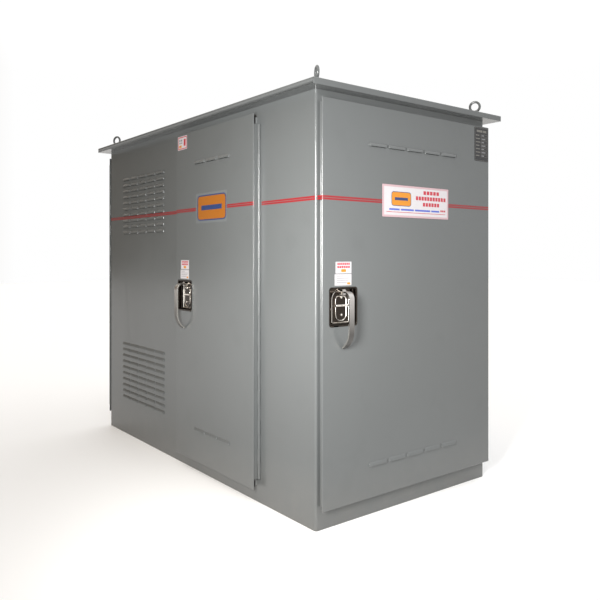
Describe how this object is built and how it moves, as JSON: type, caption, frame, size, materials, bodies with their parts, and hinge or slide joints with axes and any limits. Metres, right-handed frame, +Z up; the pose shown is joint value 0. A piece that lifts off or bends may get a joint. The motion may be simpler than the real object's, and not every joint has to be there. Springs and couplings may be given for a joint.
{
  "type": "power distribution enclosure",
  "caption": "Free-standing grey steel enclosure with roof cap, louvred vents, hinged doors, padlockable lever handles, lifting eyes and a dry transformer with switchgear inside.",
  "frame": {"origin": "on the ground under the middle of the body, at the centre of the four anchor holes", "axes": "+X towards the right end with its door, -Y the front with the vents and the front door, +Z up"},
  "size_m": [2.904, 1.57, 2.3901],
  "materials": {
    "enamel_grey": "semi-gloss enamel on steel sheet",
    "galvanised": "galvanised sheet",
    "pan_chrome": "polished",
    "lever_steel": "brushed, polished edges",
    "zinc_steel": "zinc plated",
    "busbar_copper": "bare copper",
    "core_steel": "laminated, varnished",
    "winding_resin": "cast resin",
    "winding_tape": "varnished tape",
    "pressboard": "laminated board",
    "rubber_black": "sponge and solid rubber",
    "moulded_black": "moulded thermoset",
    "toggle_grey": "moulded",
    "board_white": "printed plate"
  },
  "bodies": {
    "enclosure": {"base_frame": "enamel_grey", "floor_plate": "enamel_grey", "gland_plates": "galvanised", "corner_posts": "enamel_grey", "front_panel": "enamel_grey", "rear_panel": "enamel_grey", "rear_cover": "enamel_grey", "rear_cover_screws": "zinc_steel", "right_end_frame": "enamel_grey", "left_end_frame": "enamel_grey", "roof_cap": "enamel_grey", "lifting_eyes": "enamel_grey", "left_partition": "galvanised", "right_partition": "galvanised", "core": "core_steel", "lv_windings": "winding_tape", "hv_windings": "winding_resin", "core_clamps": "enamel_grey", "core_rails": "enamel_grey", "vibration_pads": "rubber_black", "tie_rods": "zinc_steel", "coil_blocks": "pressboard", "hv_links": "busbar_copper", "lv_busbars": "busbar_copper", "front_back_pan": "galvanised", "main_breaker": "moulded_black", "right_back_pan": "galvanised", "feeder_breakers": "moulded_black", "feeder_busbars": "busbar_copper", "neutral_bar": "busbar_copper", "ground_bar": "busbar_copper", "hinge_wall_leaves": "zinc_steel", "hinge_pins": "zinc_steel", "strikes": "zinc_steel"},
    "front_door": {"front_door": "enamel_grey", "front_door_seal": "rubber_black", "front_hinge_leaf": "zinc_steel", "front_handle_pan": "pan_chrome"},
    "front_handle": {"front_handle": "lever_steel"},
    "front_top_rod": {"front_top_rod": "zinc_steel"},
    "front_bottom_rod": {"front_bottom_rod": "zinc_steel"},
    "right_door": {"right_door": "enamel_grey", "right_door_seal": "rubber_black", "right_hinge_leaf": "zinc_steel", "right_handle_pan": "pan_chrome", "right_door_plates": "board_white"},
    "right_handle": {"right_handle": "lever_steel"},
    "right_top_rod": {"right_top_rod": "zinc_steel"},
    "right_bottom_rod": {"right_bottom_rod": "zinc_steel"},
    "left_door": {"left_door": "enamel_grey", "left_door_seal": "rubber_black", "left_hinge_leaf": "zinc_steel", "left_handle_pan": "pan_chrome"},
    "left_handle": {"left_handle": "lever_steel"},
    "left_top_rod": {"left_top_rod": "zinc_steel"},
    "left_bottom_rod": {"left_bottom_rod": "zinc_steel"},
    "main_toggle": {"main_toggle": "toggle_grey"},
    "feeder_toggle_1": {"feeder_toggle_1": "toggle_grey"},
    "feeder_toggle_2": {"feeder_toggle_2": "toggle_grey"}
  },
  "joints": [
    {"name": "front_door_hinge", "type": "hinge", "parent": "enclosure", "child": "front_door", "pos_m": [0.8455, -0.7, 0], "axis": [0, 0, 1], "range_deg": [0, 110]},
    {"name": "front_handle_turn", "type": "hinge", "parent": "front_door", "child": "front_handle", "pos_m": [0.03, -0.69, 1.217], "axis": [0, -1, 0], "range_deg": [0, 90]},
    {"name": "front_top_rod_slide", "type": "slide", "parent": "front_door", "child": "front_top_rod", "axis": [0, 0, -1], "range_m": [0, 0.0355]},
    {"name": "front_bottom_rod_slide", "type": "slide", "parent": "front_door", "child": "front_bottom_rod", "axis": [0, 0, 1], "range_m": [0, 0.0355]},
    {"name": "right_door_hinge", "type": "hinge", "parent": "enclosure", "child": "right_door", "pos_m": [1.35, 0.6905, 0], "axis": [0, 0, 1], "range_deg": [0, 110]},
    {"name": "right_handle_turn", "type": "hinge", "parent": "right_door", "child": "right_handle", "pos_m": [1.34, -0.543, 1.217], "axis": [1, 0, 0], "range_deg": [0, 90]},
    {"name": "right_top_rod_slide", "type": "slide", "parent": "right_door", "child": "right_top_rod", "axis": [0, 0, -1], "range_m": [0, 0.0355]},
    {"name": "right_bottom_rod_slide", "type": "slide", "parent": "right_door", "child": "right_bottom_rod", "axis": [0, 0, 1], "range_m": [0, 0.0355]},
    {"name": "left_door_hinge", "type": "hinge", "parent": "enclosure", "child": "left_door", "pos_m": [-1.35, -0.6905, 0], "axis": [0, 0, 1], "range_deg": [0, 110]},
    {"name": "left_handle_turn", "type": "hinge", "parent": "left_door", "child": "left_handle", "pos_m": [-1.34, 0.543, 1.217], "axis": [-1, 0, 0], "range_deg": [0, 90]},
    {"name": "left_top_rod_slide", "type": "slide", "parent": "left_door", "child": "left_top_rod", "axis": [0, 0, -1], "range_m": [0, 0.0355]},
    {"name": "left_bottom_rod_slide", "type": "slide", "parent": "left_door", "child": "left_bottom_rod", "axis": [0, 0, 1], "range_m": [0, 0.0355]},
    {"name": "main_toggle_throw", "type": "hinge", "parent": "enclosure", "child": "main_toggle", "pos_m": [0.37, 0, 1.35], "axis": [1, 0, 0], "range_deg": [0, 40]},
    {"name": "feeder_toggle_1_throw", "type": "hinge", "parent": "enclosure", "child": "feeder_toggle_1", "pos_m": [0.996, 0.06, 1.56], "axis": [0, 1, 0], "range_deg": [0, 40]},
    {"name": "feeder_toggle_2_throw", "type": "hinge", "parent": "enclosure", "child": "feeder_toggle_2", "pos_m": [0.996, 0.06, 1.15], "axis": [0, 1, 0], "range_deg": [0, 40]}
  ],
  "couplings": [
    {"joint": "front_top_rod_slide", "follows": "front_handle_turn", "m_per_rad": 0.022508},
    {"joint": "front_bottom_rod_slide", "follows": "front_handle_turn", "m_per_rad": 0.022508},
    {"joint": "right_top_rod_slide", "follows": "right_handle_turn", "m_per_rad": 0.022508},
    {"joint": "right_bottom_rod_slide", "follows": "right_handle_turn", "m_per_rad": 0.022508},
    {"joint": "left_top_rod_slide", "follows": "left_handle_turn", "m_per_rad": 0.022508},
    {"joint": "left_bottom_rod_slide", "follows": "left_handle_turn", "m_per_rad": 0.022508}
  ]
}
